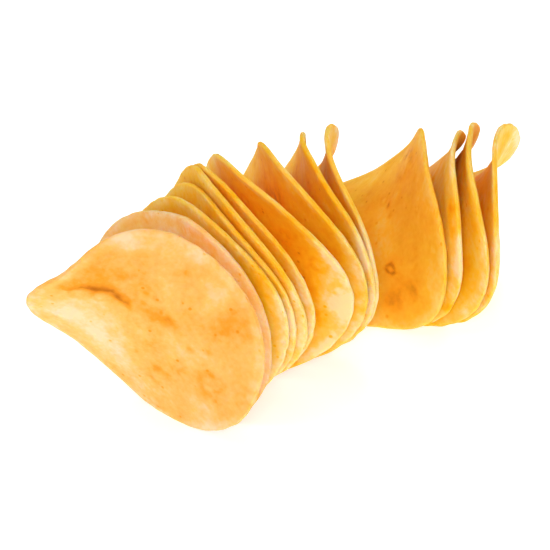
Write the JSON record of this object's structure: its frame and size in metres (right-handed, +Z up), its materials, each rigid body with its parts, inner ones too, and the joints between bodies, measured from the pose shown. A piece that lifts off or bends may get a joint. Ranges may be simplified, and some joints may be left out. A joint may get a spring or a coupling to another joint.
{
  "type": "row of stacked crisps",
  "caption": "Row of saddle-shaped potato crisps standing on edge one behind the other, nested close at the front and fanned out towards the back.",
  "frame": {"origin": "on the table, under the middle of the row's bounding box", "axes": "+X along the row from the front crisp to the last, +Z up; each crisp's back looks along +X, turned and tilted as it lies"},
  "size_m": [0.1666, 0.0864, 0.0618],
  "materials": {
    "pale_crisp": "dry fried dough, pale gold to cream with small toasted spots, faint oily sheen",
    "golden_crisp": "dry fried dough, golden with lighter edges and small toasted spots, faint oily sheen",
    "browned_crisp": "dry fried dough, deeper orange gold with brown blister rings, faint oily sheen"
  },
  "bodies": {
    "root": {"crisp_01": "pale_crisp", "crisp_02": "pale_crisp", "crisp_03": "golden_crisp", "crisp_04": "golden_crisp", "crisp_05": "golden_crisp", "crisp_06": "golden_crisp", "crisp_07": "golden_crisp", "crisp_08": "golden_crisp", "crisp_09": "golden_crisp", "crisp_10": "golden_crisp", "crisp_11": "browned_crisp", "crisp_12": "golden_crisp", "crisp_13": "golden_crisp", "crisp_14": "golden_crisp"}
  },
  "joints": []
}
